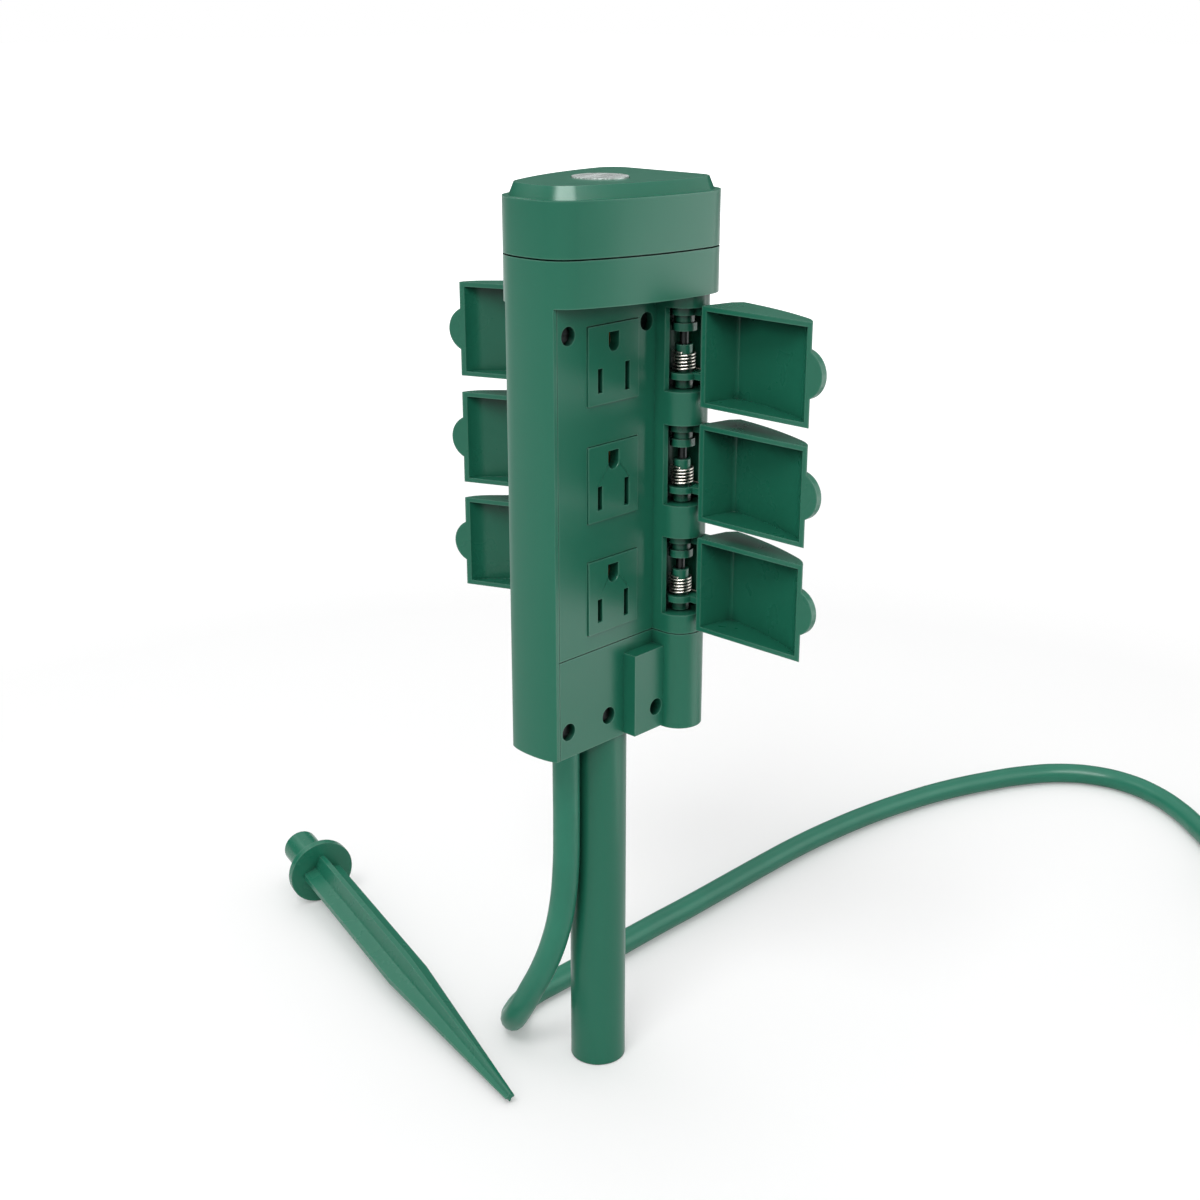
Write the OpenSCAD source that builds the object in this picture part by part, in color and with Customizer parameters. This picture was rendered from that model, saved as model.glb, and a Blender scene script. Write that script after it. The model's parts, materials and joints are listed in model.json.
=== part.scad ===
// Garden socket spike: a power stake with six covered outlets, a tube foot, a cord and a push-in spike

/* [Body] */
// Distance between the front and the back outlet faces
body_t = 21; // [20.8:0.1:23]
// Height of the body's underside above the floor
body_z = 131; // [110:1:160]
// Height of the body from its underside to the head
body_h = 150.5; // [148:0.5:156]
// Height of the lower plate, up to its seam
lower_h = 35; // [33.5:0.5:35.5]
// Thickness of the face plates
plate_t = 2.2; // [2.1:0.1:2.6]
// Thickness of the body's end walls
wall_t = 2.6; // [2:0.1:3]
// Radius of the rounded end, seen from above
end_r = 40; // [36:1:44]
// Radius between the rounded end and the long sides
nose_r = 13; // [11:0.5:15]
// Radius of the long sides of the head and the covers
side_r = 120; // [110:1:130]
// Distance from the pole's axis to the rounded end
end_x = 32.7; // [32:0.1:33.5]

/* [Head] */
// Height of the head's lower band
band_h = 14.5; // [13:0.5:16]
// Height of the cap's wall
cap_h = 17.7; // [16.5:0.1:20]
// Rise of the chamfer round the top panel
chamfer_h = 4.1; // [3.5:0.1:5]
// Width of the dark seam under the cap
seam_w = 0.5; // [0.3:0.1:0.8]
// Width of the flat ledge round the chamfer
ledge_w = 2; // [1:0.1:3]
// Width of the chamfer, seen from above
chamfer_w = 1.7; // [1:0.1:2.5]
// Wall thickness of the head
head_t = 2.4; // [2:0.1:3]
// Distance by which the head stands out over the hinge barrels
overhang = 2.7; // [2:0.1:4]

/* [Button] */
// Diameter of the button's face
button_d = 18; // [15:0.5:20]
// Travel of the button
button_travel = 1.5; // [1:0.1:2]
// Height by which the button's face stands over the panel
button_proud = 0.4; // [0.2:0.1:0.8]

/* [Outlets] */
// Height from one outlet to the next
outlet_pitch = 38.5; // [37:0.1:38.8]
// Distance of the top outlet's centre below the head
outlet_drop = 20; // [19.5:0.1:20.2]
// Distance of the outlets' centre line from the pole's axis
outlet_x = -4.2; // [-5:0.1:-4]
// Width of a socket insert
insert_w = 23.6; // [22.5:0.1:24]
// Height of a socket insert
insert_h = 25.3; // [25.2:0.1:26.5]
// Height by which an insert stands out of the plate
insert_proud = 0.6; // [0.4:0.1:1]

/* [Covers] */
// Height of a cover
cover_h = 32.7; // [31.5:0.1:33.5]
// Wall thickness of a cover
cover_t = 1.6; // [1.2:0.1:2]
// Distance from the pole's axis to the covers' hinge-side wall at the face
cover_x = 12.8; // [12.6:0.1:13.4]
// Slant of that wall, from the face to the front
cover_slant = 2.6; // [1:0.1:3.5]
// Angle of the open front covers
open_front = 90; // [60:1:100]
// Angle of the open back covers
open_back = 68.5; // [60:0.5:100]
// Radius of the finger tab
tab_r = 8; // [7.5:0.1:9]
// Reach of the finger tab past the cover's end
tab_reach = 4.3; // [3:0.1:5]
// Thickness of the finger tab
tab_t = 2.4; // [1.5:0.1:3]

/* [Hinges] */
// Distance of the hinge axes from the pole's axis along the faces
axis_x = 24.3; // [24:0.1:25]
// Distance of the hinge axes from the middle plane
axis_y = 15.8; // [15.5:0.1:16.5]
// Radius of the hinge barrels
barrel_r = 8.2; // [7.8:0.1:8.4]
// Height of a pocket in the barrel
pocket_h = 27.3; // [26.8:0.1:27.8]
// Radius of the turning room in a pocket
pocket_r = 6.3; // [6:0.1:6.5]
// Diameter of the hinge pins
pin_d = 3; // [2.5:0.1:3.5]
// Radius of the covers' knuckles
knuckle_r = 5; // [4.6:0.1:5.3]
// Wire diameter of the hinge springs
hinge_wire = 0.65; // [0.5:0.05:0.7]
// Curls of a hinge spring
hinge_curls = 5.5; // [4.5:1:5.5]
// Rise of a hinge spring for each curl
hinge_pitch = 1.1; // [1.1:0.05:1.2]

/* [Pole] */
// Outer diameter of the pole
pole_d = 20; // [19:0.5:20]
// Bore of the pole's foot, for the spike's peg
foot_bore_d = 15.3; // [15:0.1:16]
// Depth of the foot bore
foot_bore_h = 23; // [23:0.5:30]
// Diameter of the pole's spigot in the body
spigot_d = 14; // [13:0.5:14.5]
// Length of the spigot
spigot_h = 14; // [10:0.5:14]

/* [Cord] */
// Diameter of the cord
cord_d = 9.4; // [9:0.1:9.6]
// Distance of the cord from the pole's axis
cord_x = 16; // [16:0.1:16.3]
// Loops of the coil
coil_loops = 4; // [4:2:6]
// Radius of the coil's outer loop
coil_r = 56; // [54:1:58]
// Clear space between the coil's turns
coil_gap = 0.6; // [0.5:0.1:1]
// Diameter of the plug's body
plug_d = 26; // [24:0.5:27]
// Length of the plug's body
plug_l = 32; // [28:1:40]

/* [Spike] */
// Diameter of the spike's peg
peg_d = 15; // [14.5:0.1:15]
// Length of the peg
peg_l = 22; // [18:0.5:22.5]
// Diameter of the flange
flange_d = 28; // [26:0.5:32]
// Thickness of the flange
flange_t = 3; // [2:0.5:4]
// Length of the blade with parallel fins
blade_l = 86; // [70:1:100]
// Length of the tapered point
point_l = 84; // [70:1:100]
// Width of the blade across its fins
blade_w = 16.5; // [15:0.5:18]
// Thickness of a fin's edge
fin_t = 2.2; // [1.8:0.1:3]

/* [Hidden] */
$fn = 64;

body_green = [0.10, 0.33, 0.26];
cord_green = [0.13, 0.38, 0.30];
steel = [0.75, 0.76, 0.78];
brass = [0.80, 0.66, 0.32];
rubber = [0.12, 0.12, 0.12];
nylon = [0.85, 0.84, 0.80];

// Clearances
fit = 0.15;     // between pieces that are pushed together
run = 0.3;      // between pieces that move past each other
clear = 0.05;   // round a turning pin
cut = 1;        // how far a cutter reaches past what it cuts
join = 0.1;     // how far shapes of one piece reach into each other

// Heights
face_y = body_t / 2;
head_z = body_z + body_h;
cap_z = head_z + band_h;
ledge_z = cap_z + cap_h;
panel_z = ledge_z + chamfer_h;
seam_z = body_z + lower_h;
floor_t = 3.4;
band_floor_t = 2.5;
web_lift = 25;
web_z = body_z + web_lift;

// Outline of the head seen from above, the same on the front and the back
corner_r = barrel_r + overhang;
front_y = axis_y + corner_r;
end_cx = end_r - end_x;
side_cy = side_r - front_y;

// Centre of the small arc that joins two circles from the inside, on the front
function joint_centre(c1, r1, c2, r2) = let(
        v = c2 - c1,
        d = norm(v),
        a = (d * d + r1 * r1 - r2 * r2) / (2 * d),
        h = sqrt(r1 * r1 - a * a),
        u = v / d
    ) [c1.x + a * u.x - h * u.y, c1.y + a * u.y + h * u.x];

nose_c = joint_centre([end_cx, 0], end_r - nose_r, [axis_x, side_cy], side_r - nose_r);
end_a = 180 + atan(nose_c.y / (nose_c.x - end_cx));
side_a = 180 + atan((nose_c.y - side_cy) / (nose_c.x - axis_x));

function arc(c, r, a1, a2, steps) = [for (i = [0:steps])
    let(a = a1 + (a2 - a1) * i / steps) c + r * [cos(a), sin(a)]];
function mirrored(points) = [for (i = [len(points) - 1:-1:0]) [points[i].x, -points[i].y]];

// Front half of the outline, drawn in by inset
function front_half(inset) = concat(
    arc([end_cx, 0], end_r - inset, 180, end_a, 6),
    arc(nose_c, nose_r - inset, end_a + 6, side_a - 6, 8),
    arc([axis_x, side_cy], side_r - inset, side_a, 270, 14),
    arc([axis_x, -axis_y], corner_r - inset, 278, 360, 10)
);
function outline(inset) = let(front = front_half(inset), back = mirrored(front))
    concat(front, [for (i = [0:len(back) - 2]) back[i]]);

// Where the outline's end passes a given distance from the middle plane
function end_at(y) = y < -end_r * sin(end_a)
    ? end_cx - sqrt(end_r * end_r - y * y)
    : nose_c.x - sqrt(nose_r * nose_r - pow(y + nose_c.y, 2));

// Width of the body, from the plates' end at the rounded end to the barrels
plate_x = -29.2;
end_wall_x = plate_x + wall_t - 1;
body_x = axis_x + barrel_r;
inner_y = face_y - plate_t;
web_t = 1.5;

// Outlets, as a plug sees them with the ground hole up
blade_gap = 12.7;
ground_up = 11.9;
slot_w = 2.1;
hot_h = 7.8;
neutral_h = 9.3;
ground_w = 4.9;
ground_h = 6.2;
slots_below = 5;
ground_dz = ground_up - slots_below;
insert_flange = 1.2;
insert_edge = 1.2;
insert_back_y = inner_y - insert_flange;
outlet_z = head_z - outlet_drop;
function outlet_height(i) = outlet_z - i * outlet_pitch;

// Covers
rim_y = face_y + run;
cover_raise = 0.65;
outer_corner = 2.5;
inner_corner = 1;
pocket_lift = 3.9;
function cover_z(i) = outlet_height(i) + cover_raise - cover_h / 2;
function pocket_z(i) = cover_z(i) + pocket_lift;

// Hinge, up from the pocket's floor: foot, lower collar, core inside the spring, discs and upper collar
foot_r = 3.2;
foot_h = 3;
lower_collar = [run + foot_h, run + foot_h + 2.2];
upper_collar = [pocket_h - run - 2.6, pocket_h - run];
disc_r = 4.2;
neck_r = 3.4;
disc_h = 2.6;
spring_r = 3.6;
spring_h = hinge_curls * hinge_pitch;
spring_z0 = lower_collar[1] + run + hinge_wire / 2;
core_r = spring_r - hinge_wire / 2 - 0.375;
core_z = spring_z0 + spring_h + 2.4;
pin_reach = 4;

// Screws: the faces' heads sit in deep cups, the head's ones in its floor
screw_head_r = 2.7;
screw_hole_r = 3;
screw_head_h = 1;
screw_sunk = 1.3;
screw_r = 1.4;
screw_reach = 3;
seat_y = face_y - 3.4;
cup_y = seat_y - 1.2;
cup_r = screw_hole_r + 1;
block_y = axis_y;
block_x = 1.7;
block_lift = 0.6;
block_gap = 5;
block_top = seam_z - block_gap;
boss_r = 3;
upper_screws = [[-24.4, head_z - 9], [11.8, head_z - 9]];
lower_screws = [[-25.2, body_z + 9.3], [-5.8, body_z + 9.3]];
block_screw = [12.4, body_z + 8.5];
head_screws_at = [[-7, -14], [12, -17.2], [-7, 14], [12, 17.2]];

// Button and switch
button_x = 1.2;
button_top = panel_z + button_proud;
panel_t = 2.3;
button_flange_t = 1.4;
button_flange_z = panel_z - panel_t - run - button_flange_t;
button_stem_r = 3;
switch_w = 16;
switch_z = head_z + band_floor_t;
switch_h = 16;
plunger_h = 4;
button_wire = 0.8;
button_spring_r = 5.6;
button_spring_z = switch_z + switch_h + run;

// Gland of the cord
gland_d = 12;
gland_h = 10;

// The cord's route, from the gland to the coil; the floor is at height 0
cord_r = cord_d / 2;
cord_route = [
    [-16, 0, 131], [-16, 0, 118], [-16, 0, 100], [-16, 0.5, 82], [-16.5, 2, 66], [-17.5, 5, 52],
    [-19, 9.5, 39], [-20.3, 14.5, 28.5], [-20.3, 19.5, 19.5], [-18.8, 24.8, 12.2], [-15, 30, 7.3],
    [-9.5, 34.8, 5.2], [-2.5, 38, 4.7], [5.5, 39.4, 4.7], [15, 39.3, 4.7], [30, 39, 4.7],
    [50, 39.5, 4.7], [75, 39.5, 4.7], [100, 39, 4.7], [125, 39, 4.7], [150, 39, 4.7], [175, 38.5, 4.7],
    [200, 36.5, 4.7], [225, 33, 4.7], [248, 28, 4.7], [270, 21.5, 4.7], [292, 12.5, 4.7], [312, 2, 4.7],
    [327, -10, 4.7], [336, -24, 4.7], [339, -40, 4.7], [336, -56, 4.7], [328, -72, 4.7],
    [316, -88, 4.7], [303, -103, 4.7]
];
coil_angle = 131;
coil_c = [320, -166];
coil_pitch = cord_d + coil_gap;
tail_drop = 1.7;
tail_l = 62;
plug_relief_l = 26;
plug_face_l = 5;
blade_w_plug = 6.35;
blade_t_plug = 1.5;
blade_l_plug = 16.5;
ground_pin_d = 4.75;
ground_pin_l = 20;

// Spike on the floor: its flange and its point touch it
spike_at = [-0.6, 163.5];
spike_turn = 74.6;
point_w = 3.6;
spike_tilt = atan((flange_d - blade_w) / 2 / blade_l);

// One unbroken round tube through given points
function unit(v) = v / norm(v);
function heading(p, i) = unit(p[min(i + 1, len(p) - 1)] - p[max(i - 1, 0)]);
function side_of(d, up) = unit(cross(d, up));
function ring(c, d, up, r, sides) = let(s = side_of(d, up), u = cross(s, d))
    [for (k = [0:sides - 1]) c + r * (cos(360 * k / sides) * s + sin(360 * k / sides) * u)];
module tube(p, r, sides, up, first = [0, 0, 0], last = [0, 0, 0]) {
    n = len(p);
    rings = [for (i = [0:n - 1]) let(
            d = i == 0 && norm(first) > 0 ? first : i == n - 1 && norm(last) > 0 ? last : heading(p, i)
        ) ring(p[i], d, up, r, sides)];
    points = [for (one = rings, q = one) q];
    walls = [for (i = [0:n - 2], k = [0:sides - 1]) let(
            a = i * sides + k,
            b = i * sides + (k + 1) % sides
        ) each [[a, a + sides, b + sides], [a, b + sides, b]]];
    end = (n - 1) * sides;
    caps = [for (k = [1:sides - 2]) each [[0, k, k + 1], [end, end + k + 1, end + k]]];
    polyhedron(points, concat(walls, caps));
}

// The coil: in over the lower layer, up a layer where it turns back, out over the upper one
coil_rings = 24;
coil_half = coil_loops / 2;
function smooth(x) = let(t = min(max(x, 0), 1)) t * t * (3 - 2 * t);
function coil_radius(t) = coil_r - coil_pitch * (t < coil_half ? t : coil_loops - t);
function coil_height(t) = cord_r + coil_pitch * smooth((t - coil_half + 0.25) / 0.5);
function coil_point(t) = let(a = coil_angle + 360 * t, r = coil_radius(t))
    [coil_c.x + r * cos(a), coil_c.y + r * sin(a), coil_height(t)];
coil_way = [cos(coil_angle + 90), sin(coil_angle + 90), 0];
coil_turns = [for (i = [0:coil_loops * coil_rings]) coil_point(i / coil_rings)];
coil_start = coil_turns[0] - cord_d * coil_way;
coil_end = coil_turns[len(coil_turns) - 1] + cord_d * coil_way;
coil_points = concat([coil_start], coil_turns, [coil_end]);
tail_way = [for (s = [0, 8, 20, 32, 44, 54, tail_l])
    coil_end + s * coil_way - [0, 0, tail_drop * smooth((s - 8) / 44)]];
plug_at = tail_way[len(tail_way) - 1];

// A spring's curls
function curl_points(r, pitch, curls, z0, a0) = [for (i = [0:8 * curls]) let(a = a0 + 45 * i)
    [r * cos(a), r * sin(a), z0 + pitch * i / 8]];
// A closed cover's spring starts with a leg from the cover's wall and ends short in the pocket
leg_l = axis_x - cover_x + cover_slant * 0.7 - 0.3;
hinge_spring_points = let(
        c = curl_points(spring_r, hinge_pitch, hinge_curls, spring_z0, 270),
        e = c[len(c) - 1]
    ) concat([for (x = [leg_l, leg_l / 2, 2 * hinge_wire]) [-x, -spring_r, spring_z0]], c, [e + [-2, 0, 0]]);
button_spring_h = button_flange_z - run - button_spring_z - button_wire;
button_curls = 5;
button_spring_points = curl_points(button_spring_r, button_spring_h / button_curls, button_curls, 0, 0);

// Least clear space of a wound tube to itself, between rings that aren't neighbours
function least(values) = min(values);
function self_gap(p, r, skip) = least([for (i = [0:len(p) - 1], j = [i + skip:len(p) - 1])
    if (j < len(p)) norm(p[i] - p[j])]) - 2 * r;
echo(coil_gap_found = self_gap([for (i = [0:2:len(coil_points) - 1]) coil_points[i]], cord_r, 8));
echo(hinge_spring_gap = self_gap(hinge_spring_points, hinge_wire / 2, 6));
echo(button_spring_gap = self_gap(button_spring_points, button_wire / 2, 6));
function path_length(p) = len(p) < 2 ? 0 : norm(p[1] - p[0]) + path_length([for (i = [1:len(p) - 1]) p[i]]);
echo(cord_length = path_length(cord_route) + norm(coil_start - cord_route[len(cord_route) - 1])
    + path_length(coil_points) + path_length(tail_way));

// Turns a closed front cover to its open place; the back ones are mirrored
module opened(angle) {
    translate([axis_x, -axis_y, 0])
        rotate([0, 0, angle])
            translate([-axis_x, axis_y, 0])
                children();
}

module on_back() {
    mirror([0, 1, 0])
        children();
}

module prism(points, z0, z1) {
    translate([0, 0, z0])
        linear_extrude(z1 - z0)
            polygon(points);
}

module block(lo, hi) {
    translate(lo)
        cube(hi - lo);
}

// Head

post_r = 3.2;
post_h = 10;
wire_hole_r = 2;
gasket_t = 1.4;
gasket_w = 2.2 - fit;
lip_w = 2.4;
lip_h = 2;
shelf_h = 2.6;

module head_post(p, z0, z1) {
    translate([p.x, p.y, z0])
        cylinder(h = z1 - z0, r = post_r);
}

// A rib that runs round inside the head's wall
module inner_rib(from, w, z0, z1) {
    difference() {
        prism(outline(from), z0, z1);
        prism(outline(head_t + w), z0 - cut, z1 + cut);
    }
}

module head_cap() {
    color(body_green)
        difference() {
            union() {
                difference() {
                    union() {
                        prism(outline(0), cap_z + seam_w, ledge_z);
                        hull() {
                            prism(outline(ledge_w), ledge_z - 0.01, ledge_z);
                            prism(outline(ledge_w + chamfer_w), panel_z - 0.01, panel_z);
                        }
                    }
                    prism(outline(head_t), cap_z, ledge_z - panel_t);
                    prism(outline(ledge_w + chamfer_w + 1), ledge_z - panel_t - cut, panel_z - panel_t);
                }
                inner_rib(head_t - join, lip_w, cap_z, cap_z + lip_h);
                for (p = head_screws_at)
                    head_post(p, cap_z + run, panel_z - panel_t + join);
            }
            translate([button_x, 0, panel_z - panel_t - cut])
                cylinder(h = panel_t + 2 * cut, d = button_d + 2 * run);
            for (p = head_screws_at)
                translate([p.x, p.y, cap_z - cut])
                    cylinder(h = post_h + cut, r = screw_r);
        }
}

module wire_hole(z0, z1) {
    translate([hot_x, hot_y, z0])
        cylinder(h = z1 - z0, r = wire_hole_r);
}

module head_gasket() {
    color(rubber)
        difference() {
            prism(outline(head_t + fit), cap_z - gasket_t, cap_z);
            prism(outline(head_t + fit + gasket_w), cap_z - gasket_t - cut, cap_z + cut);
        }
}

module head_screws() {
    color(steel)
        for (p = head_screws_at)
            translate([p.x, p.y, head_z + screw_sunk]) {
                translate([0, 0, -screw_head_h])
                    cylinder(h = screw_head_h, r = screw_head_r);
                cylinder(h = cap_z + post_h - 1 - head_z - screw_sunk, r = screw_r);
            }
}

module button() {
    color(steel)
        translate([button_x, 0, 0]) {
            translate([0, 0, button_flange_z + button_flange_t - 0.01])
                cylinder(h = button_top - button_flange_z - button_flange_t + 0.01, d = button_d);
            translate([0, 0, button_flange_z])
                cylinder(h = button_flange_t, r = button_d / 2 + 1.5);
            translate([0, 0, switch_z + switch_h + plunger_h + run])
                cylinder(h = button_flange_z - switch_z - switch_h - plunger_h, r = button_stem_r);
        }
}

module button_spring() {
    color(steel)
        translate([button_x, 0, button_spring_z + button_wire / 2])
            tube(button_spring_points, button_wire / 2, 6, [0, 0, 1]);
}

module power_switch() {
    color(rubber) {
        translate([button_x - switch_w / 2, -switch_w / 2, switch_z])
            cube([switch_w, switch_w, switch_h]);
        translate([button_x, 0, switch_z + switch_h - 0.01])
            cylinder(h = plunger_h - button_travel, r = button_stem_r);
    }
}

// Body

hot_x = -20;
hot_y = -4;

module screw_boss(p, side) {
    translate([p.x, side * cup_y, p.y])
        rotate([side * 90, 0, 0])
            cylinder(h = cup_y, r = boss_r);
}

module screw_pilot(p, side) {
    translate([p.x, side * (cup_y + cut), p.y])
        rotate([side * 90, 0, 0])
            cylinder(h = screw_reach + 1 + cut, r = screw_r);
}

module cup_room(p, side) {
    translate([p.x, side * face_y, p.y])
        rotate([side * 90, 0, 0])
            cylinder(h = face_y - cup_y, r = cup_r + fit);
}

body_screws = concat(upper_screws, lower_screws, [block_screw]);

// The floor and the wall of the head below its seam, in one piece with the rounded end
module head_band() {
    difference() {
        prism(outline(0), head_z, cap_z);
        prism(outline(head_t), head_z + band_floor_t, cap_z + cut);
    }
    inner_rib(head_t - join, lip_w, cap_z - gasket_t - shelf_h, cap_z - gasket_t);
    for (p = head_screws_at)
        head_post(p, head_z + band_floor_t - join, cap_z);
}

module rounded_end() {
    intersection() {
        prism(outline(0), body_z, head_z + join);
        union() {
            block([-2 * end_x, -face_y, body_z - cut], [plate_x - fit, face_y, head_z + cut]);
            block([-2 * end_x, -inner_y, body_z - cut], [end_wall_x, inner_y, head_z + cut]);
        }
    }
}

module spigot_hole() {
    translate([0, 0, body_z - cut])
        cylinder(h = spigot_h + cut + fit, d = spigot_d + 2 * fit);
}

module body_core() {
    inside = [end_wall_x - join, body_x - wall_t + join];
    color(body_green)
        difference() {
            union() {
                rounded_end();
                head_band();
                block([body_x - wall_t, -inner_y, body_z], [body_x, inner_y, head_z + join]);
                block([inside[0], -inner_y, body_z], [inside[1], inner_y, body_z + floor_t]);
                block([inside[0], -web_t / 2, web_z], [inside[1], web_t / 2, head_z + join]);
                translate([0, 0, body_z])
                    intersection() {
                        cylinder(h = spigot_h + 2, d = spigot_d + 4);
                        block([-spigot_d, -inner_y, 0], [spigot_d, inner_y, 2 * spigot_h]);
                    }
                for (side = [-1, 1], p = body_screws)
                    screw_boss(p, side);
                block([block_screw.x - web_t / 2, -inner_y, body_z + floor_t - join],
                      [block_screw.x + web_t / 2, inner_y, block_screw.y - screw_r - 1]);
            }
            spigot_hole();
            translate([-cord_x, 0, body_z - cut])
                cylinder(h = floor_t + 2 * cut, d = gland_d + 2 * fit);
            for (side = [-1, 1], p = body_screws) {
                screw_pilot(p, side);
                cup_room(p, side);
            }
            for (p = head_screws_at)
                translate([p.x, p.y, head_z - cut]) {
                    cylinder(h = band_h + 2 * cut, r = screw_r + fit);
                    cylinder(h = cut + screw_sunk, r = screw_hole_r);
                }
            wire_hole(head_z - cut, head_z + band_floor_t + cut);
        }
}

module face_cup(p) {
    translate([p.x, -inner_y - join, p.y])
        rotate([-90, 0, 0])
            cylinder(h = inner_y - cup_y + join, r = cup_r);
}

module face_screw_hole(p, y) {
    translate([p.x, -y, p.y])
        rotate([-90, 0, 0]) {
            translate([0, 0, -cut])
                cylinder(h = y - seat_y + cut, r = screw_hole_r);
            cylinder(h = y - cup_y + cut, r = screw_r + fit);
        }
}

// The sector through which the covers' arms turn
module pocket(i) {
    z0 = pocket_z(i);
    reach = 1.6 * barrel_r;
    translate([axis_x, -axis_y, z0]) {
        cylinder(h = pocket_h, r = pocket_r);
        linear_extrude(pocket_h)
            polygon(concat([[0, 0]], [for (a = [172, 214, 256, 298, 340]) reach * [cos(a), sin(a)]]));
    }
}

// A cover's pocket and its hinge pin's bores
module hinge_room(i) {
    pocket(i);
    translate([axis_x, -axis_y, pocket_z(i) - pin_reach - fit])
        cylinder(h = pocket_h + 2 * pin_reach + 2 * fit, d = pin_d);
}

module insert_room(i) {
    block([outlet_x - insert_w / 2 - fit, -face_y - cut, outlet_height(i) - insert_h / 2 - fit],
          [outlet_x + insert_w / 2 + fit, -inner_y + cut, outlet_height(i) + insert_h / 2 + fit]);
}

module barrel_plan(z0, z1) {
    block([plate_x, -face_y, z0], [axis_x, -inner_y, z1]);
    block([axis_x - barrel_r, -axis_y, z0], [body_x, -inner_y, z1]);
    intersection() {
        translate([axis_x, -axis_y, z0])
            cylinder(h = z1 - z0, r = barrel_r);
        block([axis_x - 2 * barrel_r, -axis_y - 2 * barrel_r, z0 - cut], [body_x + cut, -inner_y, z1 + cut]);
    }
}

module face_upper() {
    color(body_green)
        difference() {
            union() {
                barrel_plan(seam_z + fit, head_z);
                for (p = upper_screws)
                    face_cup(p);
            }
            for (i = [0:2]) {
                hinge_room(i);
                insert_room(i);
            }
            for (p = upper_screws)
                face_screw_hole(p, face_y);
        }
}

module face_lower() {
    color(body_green)
        difference() {
            union() {
                barrel_plan(body_z, seam_z - fit);
                block([block_x, -block_y, body_z + block_lift], [axis_x, -face_y + join, block_top]);
                for (p = concat(lower_screws, [block_screw]))
                    face_cup(p);
            }
            for (p = lower_screws)
                face_screw_hole(p, face_y);
            face_screw_hole(block_screw, block_y);
            spigot_hole();
            hinge_room(2);
            insert_room(2);
        }
}

module face_upper_front() face_upper();
module face_upper_back() on_back() face_upper();
module face_lower_front() face_lower();
module face_lower_back() on_back() face_lower();

// A U-shaped ground hole with its flat side up
module ground_hole() {
    r = ground_w / 2;
    translate([0, 0, -(ground_h / 2 - r)])
        rotate([-90, 0, 0])
            cylinder(h = 20, r = r, center = true);
    block([-r, -10, -(ground_h / 2 - r)], [r, 10, ground_h / 2]);
}

// hot_side is -1 where the hot slot lies towards the rounded end
module insert(i, hot_side) {
    color(body_green)
        translate([outlet_x, 0, outlet_height(i)])
            difference() {
                union() {
                    block([-insert_w / 2, -face_y - insert_proud, -insert_h / 2],
                          [insert_w / 2, -insert_back_y, insert_h / 2]);
                    block([-insert_w / 2 - insert_edge, -inner_y + fit / 3, -insert_h / 2 - insert_edge],
                          [insert_w / 2 + insert_edge, -insert_back_y, insert_h / 2 + insert_edge]);
                }
                slot(hot_side * blade_gap / 2, hot_h);
                slot(-hot_side * blade_gap / 2, neutral_h);
                translate([0, -face_y, ground_dz])
                    ground_hole();
                for (p = upper_screws)
                    translate([-outlet_x, 0, -outlet_height(i)])
                        cup_room(p, -1);
            }
}

module slot(x, h) {
    block([x - slot_w / 2, -face_y - 5, -slots_below - h / 2], [x + slot_w / 2, 0, -slots_below + h / 2]);
}

module insert_front_1() insert(0, -1);
module insert_front_2() insert(1, -1);
module insert_front_3() insert(2, -1);
module insert_back_1() on_back() insert(0, 1);
module insert_back_2() on_back() insert(1, 1);
module insert_back_3() on_back() insert(2, 1);

// Contacts: a strip on the web with a pair of leaves behind each slot
bar_t = 0.8;
bar_w = 5;
leaf_t = 0.6;
bar_lift = 21;
bar_foot = body_z + bar_lift;
bar_past = 14;
leaf_l = insert_back_y - fit - web_t / 2 - bar_t + join / 2;

module contact_bar(x, dz, gap, h) {
    w = max(bar_w, gap + 2 * leaf_t);
    color(brass) {
        translate([outlet_x + x, 0, 0]) {
            block([-w / 2, -web_t / 2 - bar_t, bar_foot], [w / 2, -web_t / 2, outlet_z + bar_past]);
            for (i = [0:2], s = [-1, 1])
                translate([s * (gap + leaf_t) / 2, -insert_back_y + fit, outlet_height(i) + dz])
                    block([-leaf_t / 2, 0, -h / 2], [leaf_t / 2, leaf_l, h / 2]);
        }
    }
}

leaf_gap = 1.4;
leaf_h = 6;
ground_leaf_gap = 5.2;
ground_leaf_h = 5;
module blade_bar(side) contact_bar(side * blade_gap / 2, -slots_below, leaf_gap, leaf_h);
module ground_bar() contact_bar(0, ground_dz, ground_leaf_gap, ground_leaf_h);
module hot_bar_front() blade_bar(-1);
module neutral_bar_front() blade_bar(1);
module ground_bar_front() ground_bar();
module hot_bar_back() on_back() blade_bar(1);
module neutral_bar_back() on_back() blade_bar(-1);
module ground_bar_back() on_back() ground_bar();

// Wires from the cord's end in the gland
wire_r = 1.1;
wire_z = body_z + gland_h + 2;
wire_way = body_z + spigot_h + 2 + 2 * wire_r;
bar_face_y = web_t / 2 + bar_t + wire_r;
wire_fan = 1.9;

module wire(points) {
    tube(points, wire_r, 6, [0.3, 0.2, 1]);
}

module hot_wire() {
    x = -cord_x - wire_fan * cos(30);
    y = -wire_fan / 2;
    color("black")
        wire([[x, y, body_z], [x, y, wire_z], [hot_x, hot_y, wire_z + 8], [hot_x, hot_y, switch_z + 4],
            [hot_x + 2, hot_y, switch_z + 6], [button_x - switch_w / 2, hot_y, switch_z + 6]]);
}

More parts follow.
